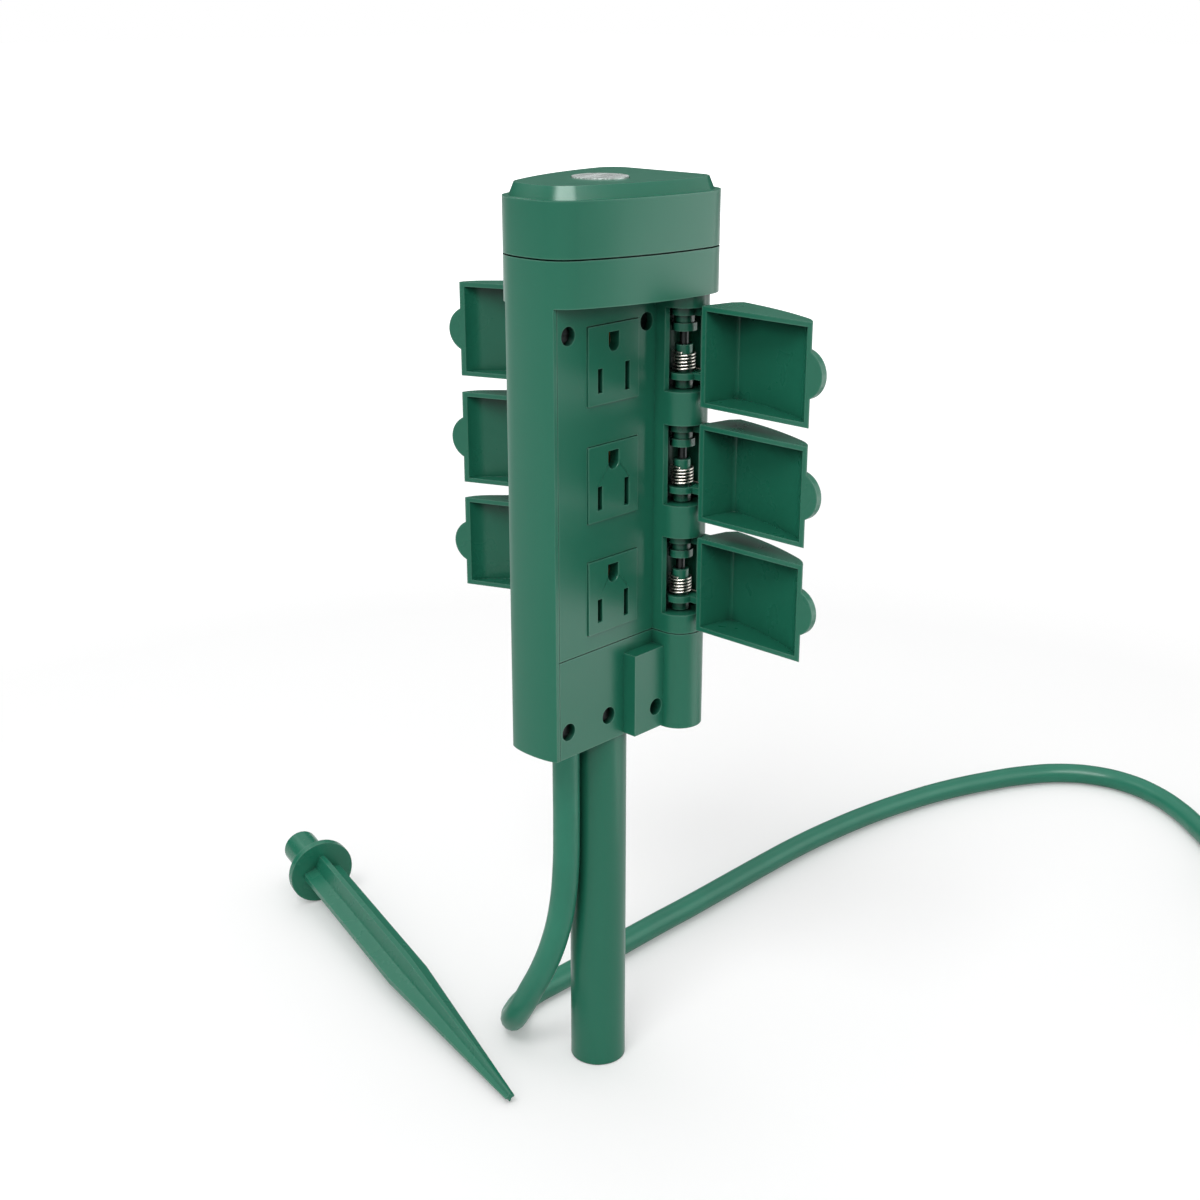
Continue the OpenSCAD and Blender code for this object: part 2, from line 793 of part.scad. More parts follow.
module neutral_wire() {
    x = -cord_x + wire_fan * cos(30);
    y = -wire_fan / 2;
    bar_x = outlet_x + blade_gap / 2;
    color("white")
        wire([[x, y, body_z], [x, y, wire_z], [x + 3, -bar_face_y, wire_way],
            [bar_x - 2, -bar_face_y, wire_way], [bar_x, -bar_face_y, wire_way + 2],
            [bar_x, -bar_face_y, bar_foot + 6]]);
}

module ground_wire() {
    color("green")
        wire([[-cord_x, wire_fan, body_z], [-cord_x, wire_fan, wire_z], [-cord_x + 3, bar_face_y, wire_way],
            [outlet_x - 2, bar_face_y, wire_way], [outlet_x, bar_face_y, wire_way + 2],
            [outlet_x, bar_face_y, bar_foot + 6]]);
}

module face_screw(p, side) {
    translate([p.x, side * (seat_y + screw_head_h), p.y])
        rotate([side * 90, 0, 0]) {
            cylinder(h = screw_head_h, r = screw_head_r);
            cylinder(h = screw_head_h + seat_y - cup_y + screw_reach, r = screw_r);
        }
}

module face_screws() {
    color(steel)
        for (side = [-1, 1], p = body_screws)
            face_screw(p, side);
}

// Covers, drawn closed on the front face: the head's outline, cut off by the slanted hinge-side wall

module cover_solid(inset, corner, z0, z1) {
    corner_x = cover_x - cover_slant - corner - inset;
    side_end = [corner_x, side_cy - sqrt(pow(side_r - inset, 2) - pow(axis_x - corner_x, 2))];
    wall_end = [cover_x - cover_slant - inset, side_end.y + 1.2 * corner];
    past = 2 * side_end - wall_end;
    rim = -rim_y + (inset > 0 ? cut : 0);
    intersection() {
        prism(outline(inset), z0, z1);
        prism([[-2 * end_x, rim], [cover_x - inset, rim], wall_end, past, [past.x, -2 * front_y],
               [-2 * end_x, -2 * front_y]], z0 - cut, z1 + cut);
    }
}

arm_root = 0.4;
arm_taper = 0.6;
arm_inset = 0.2;

module arm(z, band) {
    x0 = cover_x - cover_slant - arm_root;
    y_in = axis_y - arm_root;
    y_out = axis_y + knuckle_r - arm_inset;
    translate([0, 0, z + band[0]])
        linear_extrude(band[1] - band[0])
            polygon([[x0, -y_out], [axis_x, -y_out], [axis_x, -y_in], [x0 + arm_taper, -y_in]]);
}

module round_step(r, z0, z1) {
    translate([0, 0, z0])
        cylinder(h = z1 - z0, r = r);
}

module knuckle(z) {
    translate([axis_x, -axis_y, z]) {
        round_step(foot_r, run, lower_collar[0] + join);
        round_step(knuckle_r, lower_collar[0], lower_collar[1]);
        round_step(core_r, lower_collar[1] - join, core_z);
        round_step(disc_r, upper_collar[0] - 2 * disc_h, upper_collar[0] - disc_h);
        round_step(neck_r, upper_collar[0] - disc_h - join, upper_collar[0] + join);
        round_step(knuckle_r, upper_collar[0], upper_collar[1]);
    }
}

module cover(i) {
    z0 = cover_z(i);
    pz = pocket_z(i);
    far_x = end_at(rim_y);
    tab_x = far_x + tab_r - tab_reach;
    color(body_green)
        difference() {
            union() {
                difference() {
                    union() {
                        cover_solid(0, outer_corner, z0, z0 + cover_h);
                        for (band = [lower_collar, upper_collar])
                            arm(pz, band);
                    }
                    cover_solid(cover_t, inner_corner, z0 + cover_t, z0 + cover_h - cover_t);
                }
                knuckle(pz);
                intersection() {
                    translate([tab_x, -rim_y, z0 + cover_h / 2])
                        rotate([90, 0, 0])
                            cylinder(h = tab_t, r = tab_r);
                    block([tab_x - 2 * tab_r, -rim_y - 2 * tab_t, z0],
                          [far_x + cover_t, -rim_y, z0 + cover_h]);
                }
            }
            translate([axis_x, -axis_y, pz - cut])
                cylinder(h = pocket_h + 2 * cut, d = pin_d + 2 * clear);
        }
}

module cover_front_1() opened(open_front) cover(0);
module cover_front_2() opened(open_front) cover(1);
module cover_front_3() opened(open_front) cover(2);
module cover_back_1() on_back() opened(open_back) cover(0);
module cover_back_2() on_back() opened(open_back) cover(1);
module cover_back_3() on_back() opened(open_back) cover(2);

module hinge_pin(i) {
    translate([axis_x, -axis_y, pocket_z(i) - pin_reach])
        cylinder(h = pocket_h + 2 * pin_reach, d = pin_d);
}

module hinge_pins_front() color(steel) for (i = [0:2]) hinge_pin(i);
module hinge_pins_back() on_back() color(steel) for (i = [0:2]) hinge_pin(i);

module hinge_spring(i) {
    color(steel)
        translate([axis_x, -axis_y, pocket_z(i)])
            tube(hinge_spring_points, hinge_wire / 2, 6, [0, 0, 1]);
}

module spring_front_1() opened(open_front) hinge_spring(0);
module spring_front_2() opened(open_front) hinge_spring(1);
module spring_front_3() opened(open_front) hinge_spring(2);
module spring_back_1() on_back() opened(open_back) hinge_spring(0);
module spring_back_2() on_back() opened(open_back) hinge_spring(1);
module spring_back_3() on_back() opened(open_back) hinge_spring(2);

// Pole and cord

module pole() {
    color(body_green)
        difference() {
            union() {
                cylinder(h = body_z, d = pole_d);
                translate([0, 0, body_z - 0.01])
                    cylinder(h = spigot_h, d = spigot_d);
            }
            translate([0, 0, -cut])
                cylinder(h = foot_bore_h + cut, d = foot_bore_d);
            translate([0, 0, foot_bore_h - 0.01])
                cylinder(h = body_z, d = spigot_d - 4);
            for (side = [-1, 1])
                screw_pilot(lower_screws[1], side);
        }
}

module cord_gland() {
    color(rubber)
        translate([-cord_x, 0, body_z])
            difference() {
                cylinder(h = gland_h, d = gland_d);
                translate([0, 0, -cut])
                    cylinder(h = gland_h + 2 * cut, r = 3.4);
            }
}

module cord() {
    color(cord_green)
        tube(concat(cord_route, [coil_start]), cord_r, 10, [0.7, 0, 0.7], [0, 0, -1], coil_way);
}

module cord_coil() {
    color(cord_green)
        tube(coil_points, cord_r, 6, [0, 0, 1], coil_way, coil_way);
}

module cord_tail() {
    color(cord_green)
        tube(tail_way, cord_r, 10, [0, 0, 1], coil_way, coil_way);
}

module at_plug() {
    translate(plug_at)
        rotate([0, 0, coil_angle + 90])
            rotate([0, 90, 0])
                children();
}

plug_face = plug_relief_l + plug_l;
module plug_body() {
    color(cord_green)
        at_plug()
            rotate_extrude()
                polygon([[0, 0], [cord_r + 1, 0], [cord_r + 2.4, plug_relief_l],
                    [plug_d / 2 - 3, plug_relief_l + 6], [plug_d / 2 - 1.5, plug_face - plug_face_l],
                    [plug_d / 2, plug_face - plug_face_l], [plug_d / 2, plug_face], [0, plug_face]]);
}

module plug_blades() {
    color(brass)
        at_plug()
            for (s = [-1, 1])
                translate([-blade_w_plug / 2 + 3, s * blade_gap / 2 - blade_t_plug / 2, plug_face])
                    cube([blade_w_plug, blade_t_plug, blade_l_plug]);
}

module plug_ground_pin() {
    color(brass)
        at_plug()
            translate([3 - ground_up, 0, plug_face])
                cylinder(h = ground_pin_l, d = ground_pin_d);
}

// Spike, drawn point down with its flange's lower side at height 0

function turned(p, q) = [p.x * cos(90 * q) - p.y * sin(90 * q), p.x * sin(90 * q) + p.y * cos(90 * q)];
function fin_points(w, t, k) = let(a = w / 2, b = t / 2) [for (q = [0:3], p = [[a, -b], [a, b],
    [k * a, b + 0.12 * a], [0.34 * a, 0.34 * a], [b + 0.12 * a, k * a]]) turned(p, q)];

module spike_solid() {
    translate([0, 0, -blade_l])
        linear_extrude(blade_l + 0.1)
            polygon(fin_points(blade_w, fin_t, 0.6));
    translate([0, 0, -blade_l])
        mirror([0, 0, 1])
            linear_extrude(point_l, scale = point_w / blade_w)
                polygon(fin_points(blade_w, fin_t, 0.6));
    cylinder(h = flange_t, d = flange_d);
    cylinder(h = flange_t + peg_l - 1, d = peg_d);
    translate([0, 0, flange_t + peg_l - 1.01])
        cylinder(h = 1.01, d1 = peg_d, d2 = peg_d - 2);
}

module spike() {
    color(body_green)
        translate([spike_at.x, spike_at.y, flange_d / 2 * cos(spike_tilt)])
            rotate([0, 0, spike_turn])
                rotate([0, 90 - spike_tilt, 0])
                    spike_solid();
}

head_cap();
head_gasket();
head_screws();
button();
button_spring();
power_switch();
body_core();
face_upper_front();
face_upper_back();
face_lower_front();
face_lower_back();
insert_front_1();
insert_front_2();
insert_front_3();
insert_back_1();
insert_back_2();
insert_back_3();
hot_bar_front();
neutral_bar_front();
ground_bar_front();
hot_bar_back();
neutral_bar_back();
ground_bar_back();
hot_wire();
neutral_wire();
ground_wire();
face_screws();
cover_front_1();
cover_front_2();
cover_front_3();
cover_back_1();
cover_back_2();
cover_back_3();
hinge_pins_front();
hinge_pins_back();
spring_front_1();
spring_front_2();
spring_front_3();
spring_back_1();
spring_back_2();
spring_back_3();
pole();
cord_gland();
cord();
cord_coil();
cord_tail();
plug_body();
plug_blades();
plug_ground_pin();
spike();
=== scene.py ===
import json
import math

import bpy
from mathutils import Matrix, Vector


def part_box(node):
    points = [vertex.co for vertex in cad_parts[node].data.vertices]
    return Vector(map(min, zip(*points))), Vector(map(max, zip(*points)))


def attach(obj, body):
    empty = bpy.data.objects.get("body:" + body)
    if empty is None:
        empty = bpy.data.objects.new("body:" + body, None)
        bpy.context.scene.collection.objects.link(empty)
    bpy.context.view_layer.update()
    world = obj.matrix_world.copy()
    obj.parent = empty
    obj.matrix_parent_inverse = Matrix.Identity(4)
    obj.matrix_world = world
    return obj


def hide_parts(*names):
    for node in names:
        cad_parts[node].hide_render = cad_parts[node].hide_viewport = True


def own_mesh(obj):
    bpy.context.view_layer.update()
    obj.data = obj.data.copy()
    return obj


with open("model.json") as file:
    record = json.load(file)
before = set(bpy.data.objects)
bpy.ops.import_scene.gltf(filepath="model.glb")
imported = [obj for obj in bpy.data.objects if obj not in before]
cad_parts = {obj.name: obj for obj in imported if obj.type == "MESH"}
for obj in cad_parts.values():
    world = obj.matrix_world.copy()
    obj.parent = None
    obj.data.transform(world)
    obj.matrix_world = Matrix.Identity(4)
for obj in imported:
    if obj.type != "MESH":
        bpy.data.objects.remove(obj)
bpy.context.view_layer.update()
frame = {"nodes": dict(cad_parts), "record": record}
nodes = frame["nodes"]
joints = {joint["child"]: joint for joint in frame["record"]["behaviour"]["joints"]}
MM = 0.001
WHITE = (1, 1, 1, 1)

# Camera

CAMERA_AT = (-0.3978, -0.3751, 0.3704)
CAMERA_PITCH = 19.392
CAMERA_YAW = 43.240
FOCAL_PX = 1708.83
IMAGE_PX = 1200
SENSOR = 36.0
NEAREST, FURTHEST = 0.01, 60

camera = bpy.data.objects.new("camera", bpy.data.cameras.new("camera"))
bpy.context.scene.collection.objects.link(camera)
camera.location = CAMERA_AT
camera.rotation_euler = (math.radians(90 - CAMERA_PITCH), 0, math.radians(CAMERA_YAW - 90))
camera.data.sensor_width = SENSOR
camera.data.lens = SENSOR * FOCAL_PX / IMAGE_PX
camera.data.clip_start = NEAREST
camera.data.clip_end = FURTHEST
bpy.context.scene.camera = camera
bpy.context.scene.view_settings.view_transform = "Standard"


# Nodes of a material

RAMP_START, RAMP_END = 0.35, 0.65
TILT = (0, 0, 1.6)


class Tree:
    """A node tree with short ways to add nodes. A value is a number, a colour or another node's output."""

    def __init__(self, tree):
        self.tree = tree

    def add(self, kind, inputs=(), **settings):
        """A new node, with values for its inputs by their name or number."""
        node = self.tree.nodes.new(kind)
        for key, value in settings.items():
            setattr(node, key, value)
        for key, value in dict(inputs).items():
            self.put(node.inputs[key], value)
        return node

    def put(self, socket, value):
        if isinstance(value, bpy.types.NodeSocket):
            self.tree.links.new(value, socket)
        else:
            socket.default_value = value

    def combine(self, operation, a, b):
        return self.add("ShaderNodeMath", {0: a, 1: b}, operation=operation).outputs[0]

    def span(self, fac, low, high, start=0.0, end=1.0):
        """low where fac is start, high where it is end, and even steps between."""
        return self.add("ShaderNodeMapRange", {"Value": fac, "From Min": start, "From Max": end,
                                               "To Min": low, "To Max": high}).outputs["Result"]

    def seen_directly(self):
        """1 for rays from the camera, from gloss and through glass, else 0."""
        rays = self.add("ShaderNodeLightPath").outputs
        seen = self.combine("MAXIMUM", rays["Is Camera Ray"], rays["Is Glossy Ray"])
        return self.combine("MAXIMUM", seen, rays["Is Transmission Ray"])


class Shader(Tree):
    """A material with a Principled shader, and the patterns that its finish is made of."""

    def __init__(self, name, **sockets):
        self.material = bpy.data.materials.new(name)
        self.material.use_nodes = True
        super().__init__(self.material.node_tree)
        self.surface = next(n for n in self.tree.nodes if n.type == "BSDF_PRINCIPLED")
        for key, value in sockets.items():
            self.surface.inputs[key.replace("_", " ")].default_value = value
        self.where = self.add("ShaderNodeTexCoord").outputs["Object"]

    def stretch(self, x, y, z):
        """The place on the object, for a pattern that is drawn out where its number is small."""
        return self.add("ShaderNodeMapping", {"Vector": self.where, "Scale": (x, y, z)}).outputs["Vector"]

    def noise(self, scale, detail=3.0, rough=0.55, where=None):
        return self.add("ShaderNodeTexNoise", {"Vector": where or self.where, "Scale": scale,
                                               "Detail": detail, "Roughness": rough}).outputs["Fac"]

    def ramp(self, noise, low, high):
        """A colour from low to high, over the range that a noise mostly has."""
        node = self.add("ShaderNodeValToRGB", {"Fac": noise})
        ends = node.color_ramp.elements
        ends[0].position = RAMP_START
        ends[0].color = low
        ends[1].position = RAMP_END
        ends[1].color = high
        return node.outputs["Color"]

    def mix(self, fac, a, b, kind="MIX"):
        """Colour a where fac is 0, and b, or b put on a in that way, where it is 1."""
        return self.add("ShaderNodeMix", {"Factor": fac, 6: a, 7: b}, data_type="RGBA",
                        blend_type=kind).outputs[2]

    def darken(self, base, share):
        gray = self.add("ShaderNodeCombineColor", {"Red": share, "Green": share, "Blue": share}).outputs[0]
        return self.mix(1.0, base, gray, "MULTIPLY")

    def openness(self, distance, inside=False, towards=None):
        """1 on open ground, less in crevices, or inside the material near its edges."""
        inputs = {"Distance": distance}
        if towards:
            inputs["Normal"] = towards
        return self.add("ShaderNodeAmbientOcclusion", inputs, samples=12, inside=inside,
                        only_local=inside).outputs["AO"]

    def upward(self):
        """The surface's normal, tipped up."""
        facing = self.add("ShaderNodeNewGeometry").outputs["Normal"]
        tipped = self.add("ShaderNodeVectorMath", {0: facing, 1: TILT}, operation="ADD").outputs[0]
        return self.add("ShaderNodeVectorMath", {0: tipped}, operation="NORMALIZE").outputs[0]

    def bump(self, height, strength, distance):
        node = self.add("ShaderNodeBump", {"Height": height, "Strength": strength, "Distance": distance})
        self.put(self.surface.inputs["Normal"], node.outputs["Normal"])


# Materials

def linear(r, g, b):
    """A display colour, 0 to 255, as the linear one that a shader takes."""
    def one(c):
        c = c / 255
        return c / 12.92 if c <= 0.04045 else ((c + 0.055) / 1.055) ** 2.4
    return (one(r), one(g), one(b), 1)


def shaded(color, share):
    return (*[min(1, c * share) for c in color[:3]], 1)


# Specular levels
PLASTIC_LEVEL = 0.28
JACKET_LEVEL = 0.3

# Scales of the patterns, where a larger one is finer
FLOW_SCALE = 22
FLOW_STRETCH = (1, 1, 0.35)
DUST_SCALE = 180
WEAR_SCALE = 70
PATCH_SCALE = 35
HANDLING_SCALE = 120
JACKET_GRAIN = 1500

# Metres over which an edge is painted paler, a crevice is darkened with painted shade and an overhang casts
# painted shadow
EDGE_HIGHLIGHT_REACH = 0.0006
CREVICE_REACH = 0.006
ROOF_REACH = 0.011

# What an edge keeps of its colour, and the paler colour that is added to it: a painted highlight along the
# edges, and wear
EDGE_HIGHLIGHT_KEEPS = 0.55
EDGE_HIGHLIGHT_TINT = (0.06, 0.13, 0.10)


def plastic(name, color, rough=0.30, grain=2600, edge=0.75, crevice_shade=0.08, overhang_shade=0.0):
    """Moulded plastic: a fine spark-eroded grain, slight flow marks, edges painted lighter, painted shade in
    crevices.

    edge is how far the edges are painted lighter, as a painted highlight and as wear. The last two arguments
    are the shares of the colour that are left deep in crevices, as painted shade, and close under an
    overhang, as painted shadow, where 0 for the last leaves overhangs alone.
    """
    s = Shader(name, Specular_IOR_Level=PLASTIC_LEVEL)
    flow = s.noise(FLOW_SCALE, detail=4, where=s.stretch(*FLOW_STRETCH))
    base = s.ramp(flow, shaded(color, 0.975), shaded(color, 1.025))
    dust = s.noise(DUST_SCALE, detail=5, rough=0.7)
    base = s.mix(s.span(dust, 0, 0.04, start=0.55, end=0.8), base, shaded(color, 1.4))
    # Convex edges painted paler: a painted highlight along the edges, and wear
    edge_highlight_and_wear = s.span(s.openness(EDGE_HIGHLIGHT_REACH, inside=True), edge, 0, start=0.55, end=0.95)
    pale = (*[EDGE_HIGHLIGHT_KEEPS * c + add for c, add in zip(color, EDGE_HIGHLIGHT_TINT)], 1)
    base = s.mix(edge_highlight_and_wear, base, pale)
    # Painted shade: the colour darkened in crevices, recesses and seams
    base = s.darken(base, s.span(s.openness(CREVICE_REACH), crevice_shade, 1, start=0.08, end=0.62))
    # Painted shadow: the colour darkened close under an overhang, where light from above is blocked
    if overhang_shade:
        under = s.openness(ROOF_REACH, towards=s.upward())
        base = s.darken(base, s.span(under, overhang_shade, 1, start=0.10, end=0.42))
    s.put(s.surface.inputs["Base Color"], base)
    worn = s.span(s.noise(WEAR_SCALE), rough - 0.02, rough + 0.03, start=0.3, end=0.7)
    s.put(s.surface.inputs["Roughness"], worn)
    s.bump(s.noise(grain, detail=2, rough=0.5), strength=0.10, distance=0.00004)
    return s.material


def metal(name, color, rough, streak, scale, low=0.9, metallic=1.0):
    """Metal with a fine grain, which is drawn out into lines across the streak's largest number."""
    s = Shader(name, Metallic=metallic)
    lines = s.noise(scale, rough=0.6, where=s.stretch(*streak))
    s.put(s.surface.inputs["Base Color"], s.ramp(lines, shaded(color, low), shaded(color, 1.06)))
    s.put(s.surface.inputs["Roughness"], s.span(lines, rough - 0.07, rough + 0.10, start=0.3, end=0.7))
    s.bump(lines, strength=0.2, distance=0.00002)
    return s.material


def jacket(name, color, rough=0.45):
    """A wire's or cord's soft jacket: a very fine grain, dull and glossy patches."""
    s = Shader(name, Specular_IOR_Level=JACKET_LEVEL)
    patches = s.noise(PATCH_SCALE, detail=4)
    s.put(s.surface.inputs["Base Color"], s.ramp(patches, shaded(color, 0.94), shaded(color, 1.06)))
    handled = s.noise(HANDLING_SCALE, detail=4)
    worn = s.span(handled, rough - 0.05, rough + 0.07, start=0.3, end=0.7)
    s.put(s.surface.inputs["Roughness"], worn)
    s.bump(s.noise(JACKET_GRAIN, rough=0.6), strength=0.2, distance=0.00005)
    return s.material


GREEN = linear(31, 107, 84)
SPIKE_GREEN = linear(33, 112, 88)
CORD_GREEN = linear(36, 118, 94)
RUBBER_BLACK = linear(17, 31, 26)
SWITCH_BLACK = linear(22, 22, 23)
BUTTON_SILVER = linear(226, 234, 231)
BRIGHT_STEEL = linear(178, 175, 167)
BLACKENED_STEEL = linear(48, 50, 50)
BRASS = linear(184, 160, 108)
HOT_BLACK = linear(20, 20, 20)
NEUTRAL_WHITE = linear(226, 226, 220)
GROUND_GREEN = linear(30, 118, 46)
LINES_ALONG_X = (1, 9, 1)
LEVEL_LINES = (1, 1, 12)
NO_LINES = (1, 1, 1)

look = {
    # The housing and covers carry painted shade in crevices and painted shadow under overhangs
    "housing": plastic("housing_plastic", GREEN, crevice_shade=0.15, overhang_shade=0.35),
    "cover": plastic("cover_plastic", GREEN, rough=0.28, crevice_shade=0.3, overhang_shade=0.1),
    "spike": plastic("spike_plastic", SPIKE_GREEN, rough=0.26),
    "cord": jacket("cord_jacket", CORD_GREEN, rough=0.36),
    "rubber": plastic("black_rubber", RUBBER_BLACK, rough=0.6, grain=900, edge=0.1),
    "black_plastic": plastic("black_plastic", SWITCH_BLACK, rough=0.35, edge=0.2),
    "button": metal("button_metal", BUTTON_SILVER, 0.24, LINES_ALONG_X, 130, low=0.74, metallic=0.35),
    "steel": metal("spring_steel", BRIGHT_STEEL, 0.26, NO_LINES, 1200),
    "dark_steel": metal("dark_steel", BLACKENED_STEEL, 0.34, NO_LINES, 1200),
    "brass": metal("contact_brass", BRASS, 0.36, LEVEL_LINES, 500),
    "hot_wire": jacket("black_insulation", HOT_BLACK),
    "neutral_wire": jacket("white_insulation", NEUTRAL_WHITE),
    "ground_wire": jacket("green_insulation", GROUND_GREEN),
}

# CAD nodes with rounded edges and materials

WELD_GAP = 0.002
FLAT = math.radians(0.3)
SHARP = math.radians(33)
EDGE_SEGMENTS = 3
LARGE_FACES_LEAD = 60
MOULDED_EDGE, FINE_EDGE = 0.25, 0.12
EDGE = {
    "head_cap": 0.4, "body_core": 0.35, "face_upper_front": 0.3, "face_upper_back": 0.3,
    "face_lower_front": 0.8, "face_lower_back": 0.8, "pole": 0.5, "button": 0.35, "spike": 0.22,
    "plug_body": 0.8, "plug_blades": 0.3, "plug_ground_pin": 0.6,
}
slot_of = {row["node"]: row["material_slot"] for row in frame["record"]["subparts"]}


def edge_width(name):
    return EDGE.get(name, MOULDED_EDGE if name.startswith(("cover", "insert")) else FINE_EDGE)


def rounded(piece, width):
    """Rounds a node's edges, which a mould never leaves sharp."""
    for face in piece.data.polygons:
        face.use_smooth = True
    weld = piece.modifiers.new("weld", "WELD")
    weld.merge_threshold = WELD_GAP * MM
    flat = piece.modifiers.new("flat", "DECIMATE")
    flat.decimate_type = "DISSOLVE"
    flat.angle_limit = FLAT
    piece.modifiers.new("triangles", "TRIANGULATE")
    bevel = piece.modifiers.new("round", "BEVEL")
    bevel.width = width * MM
    bevel.segments = EDGE_SEGMENTS
    bevel.limit_method = "ANGLE"
    bevel.angle_limit = SHARP
    bevel.use_clamp_overlap = True
    bevel.miter_outer = "MITER_ARC"
    bevel.face_strength_mode = "FSTR_ALL"
    normal = piece.modifiers.new("normal", "WEIGHTED_NORMAL")
    normal.weight = LARGE_FACES_LEAD
    normal.keep_sharp = False
    normal.use_face_influence = True


def plain_normals(piece):
    """Takes off the normals that came with the node, because the rounded edges have their own."""
    marks = piece.data.attributes.get("custom_normal")
    if marks:
        piece.data.attributes.remove(marks)


for name, node in nodes.items():
    plain_normals(node)
    node.data.materials.clear()
    node.data.materials.append(look[slot_of[name]])
    rounded(node, edge_width(name))


# Round wires

WIRE_ROUNDNESS = 5
WIRE_SMOOTHNESS = 6


def wire_piece(name, points, radius, slot, body, replaced, as_mesh=False):
    """A round wire or cord on one smooth line through points in millimetres. With as_mesh it is a mesh."""
    data = bpy.data.curves.new(name, "CURVE")
    data.dimensions = "3D"
    data.bevel_depth = radius * MM
    data.bevel_resolution = WIRE_ROUNDNESS
    data.resolution_u = WIRE_SMOOTHNESS
    data.use_fill_caps = True
    line = data.splines.new("BEZIER")
    line.bezier_points.add(len(points) - 1)
    for knot, point in zip(line.bezier_points, points):
        knot.co = Vector(point) * MM
        knot.handle_left_type = knot.handle_right_type = "AUTO"
    data.materials.append(look[slot])
    piece = bpy.data.objects.new(name, data)
    if as_mesh:
        curve_piece = piece
        piece = bpy.data.objects.new(f"{name}.mesh", bpy.data.meshes.new_from_object(curve_piece))
        bpy.data.objects.remove(curve_piece)
        piece.name = name
    bpy.context.scene.collection.objects.link(piece)
    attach(piece, body)
    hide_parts(*replaced)
    return piece


# Mains cord

CORD_D = 9.4
CORD_ROUTE = [
    (-16, 0, 131), (-16, 0, 118), (-16, 0, 100), (-16, 0.5, 82), (-16.5, 2, 66), (-17.5, 5, 52),
    (-19, 9.5, 39), (-20.3, 14.5, 28.5), (-20.3, 19.5, 19.5), (-18.8, 24.8, 12.2), (-15, 30, 7.3),
    (-9.5, 34.8, 5.2), (-2.5, 38, 4.7), (5.5, 39.4, 4.7), (15, 39.3, 4.7), (30, 39, 4.7),
    (50, 39.5, 4.7), (75, 39.5, 4.7), (100, 39, 4.7), (125, 39, 4.7), (150, 39, 4.7), (175, 38.5, 4.7),
    (200, 36.5, 4.7), (225, 33, 4.7), (248, 28, 4.7), (270, 21.5, 4.7), (292, 12.5, 4.7), (312, 2, 4.7),
    (327, -10, 4.7), (336, -24, 4.7), (339, -40, 4.7), (336, -56, 4.7), (328, -72, 4.7),
    (316, -88, 4.7), (303, -103, 4.7),
]
COIL_LOOPS = 4
COIL_STEPS = 24
COIL_R = 56
COIL_PITCH = CORD_D + 0.6
COIL_ANGLE = 131
COIL_CENTRE = (320, -166)
COIL_CLIMB = 0.5
TAIL_STEPS = (8, 20, 32, 44, 54, 62)
TAIL_SLOPE = 44
TAIL_DROP = 1.7


def smooth(x):
    """0 up to 0, 1 from 1 on, and a soft step between."""
    t = min(max(x, 0), 1)
    return t * t * (3 - 2 * t)


def coil_point(turn):
    """Two turns in over the floor, a climb, and two turns out on top of them."""
    half = COIL_LOOPS / 2
    angle = math.radians(COIL_ANGLE + 360 * turn)
    radius = COIL_R - COIL_PITCH * (turn if turn < half else COIL_LOOPS - turn)
    climbed = smooth((turn - half + COIL_CLIMB / 2) / COIL_CLIMB)
    return Vector((COIL_CENTRE[0] + radius * math.cos(angle), COIL_CENTRE[1] + radius * math.sin(angle),
                   CORD_D / 2 + COIL_PITCH * climbed))


def cord_points():
    """The route, the coil, and the tail that runs straight on and sinks to the plug's height."""
    onward = math.radians(COIL_ANGLE + 90)
    way = Vector((math.cos(onward), math.sin(onward), 0))
    turns = [coil_point(i / COIL_STEPS) for i in range(COIL_LOOPS * COIL_STEPS + 1)]
    end = turns[-1] + CORD_D * way
    sunk = [TAIL_DROP * smooth((s - TAIL_STEPS[0]) / TAIL_SLOPE) for s in TAIL_STEPS]
    tail = [end + s * way - Vector((0, 0, drop)) for s, drop in zip(TAIL_STEPS, sunk)]
    return [Vector(p) for p in CORD_ROUTE] + [turns[0] - CORD_D * way] + turns + [end] + tail


cord = wire_piece("mains_cord", cord_points(), CORD_D / 2, "cord", "stand",
                  ("cord", "cord_coil", "cord_tail"))

# Springs

CURL_STEPS = 8
HINGE_WIRE, HINGE_R, HINGE_PITCH, HINGE_CURLS = 0.65, 3.6, 1.1, 5.5
HINGE_LEG, HINGE_TAIL = 13.02, 2
HINGE_START = 270
# How far above its joint's point a hinge spring starts
HINGE_LIFT = 6.125
BUTTON_WIRE, BUTTON_CURLS = 0.8, 5


def curls(radius, pitch, count, start=0):
    """The points of a spring's curls, from the angle start and height 0 up."""
    angles = [math.radians(start + 360 / CURL_STEPS * i) for i in range(int(CURL_STEPS * count) + 1)]
    return [Vector((radius * math.cos(a), radius * math.sin(a), pitch * i / CURL_STEPS))
            for i, a in enumerate(angles)]


def hinge_spring(body):
    """A closed cover's spring, turned to where the cover stands open."""
    legs = [Vector((-x, -HINGE_R, 0)) for x in (HINGE_LEG, HINGE_LEG / 2, 2 * HINGE_WIRE)]
    winding = curls(HINGE_R, HINGE_PITCH, HINGE_CURLS, HINGE_START)
    points = legs + winding + [winding[-1] + Vector((-HINGE_TAIL, 0, 0))]
    to_closed = joints[body]["range_deg"][0]
    turn = Matrix.Rotation(math.radians(-to_closed), 4, "Z")
    mirror = Matrix.Scale(1 if "front" in body else -1, 4, (0, 1, 0))
    at = Vector(joints[body]["pos_m"]) / MM + Vector((0, 0, HINGE_LIFT))
    wire_piece(body.replace("cover", "torsion_spring"), [at + mirror @ turn @ p for p in points],
               HINGE_WIRE / 2, "steel", body, (body.replace("cover", "spring"),))


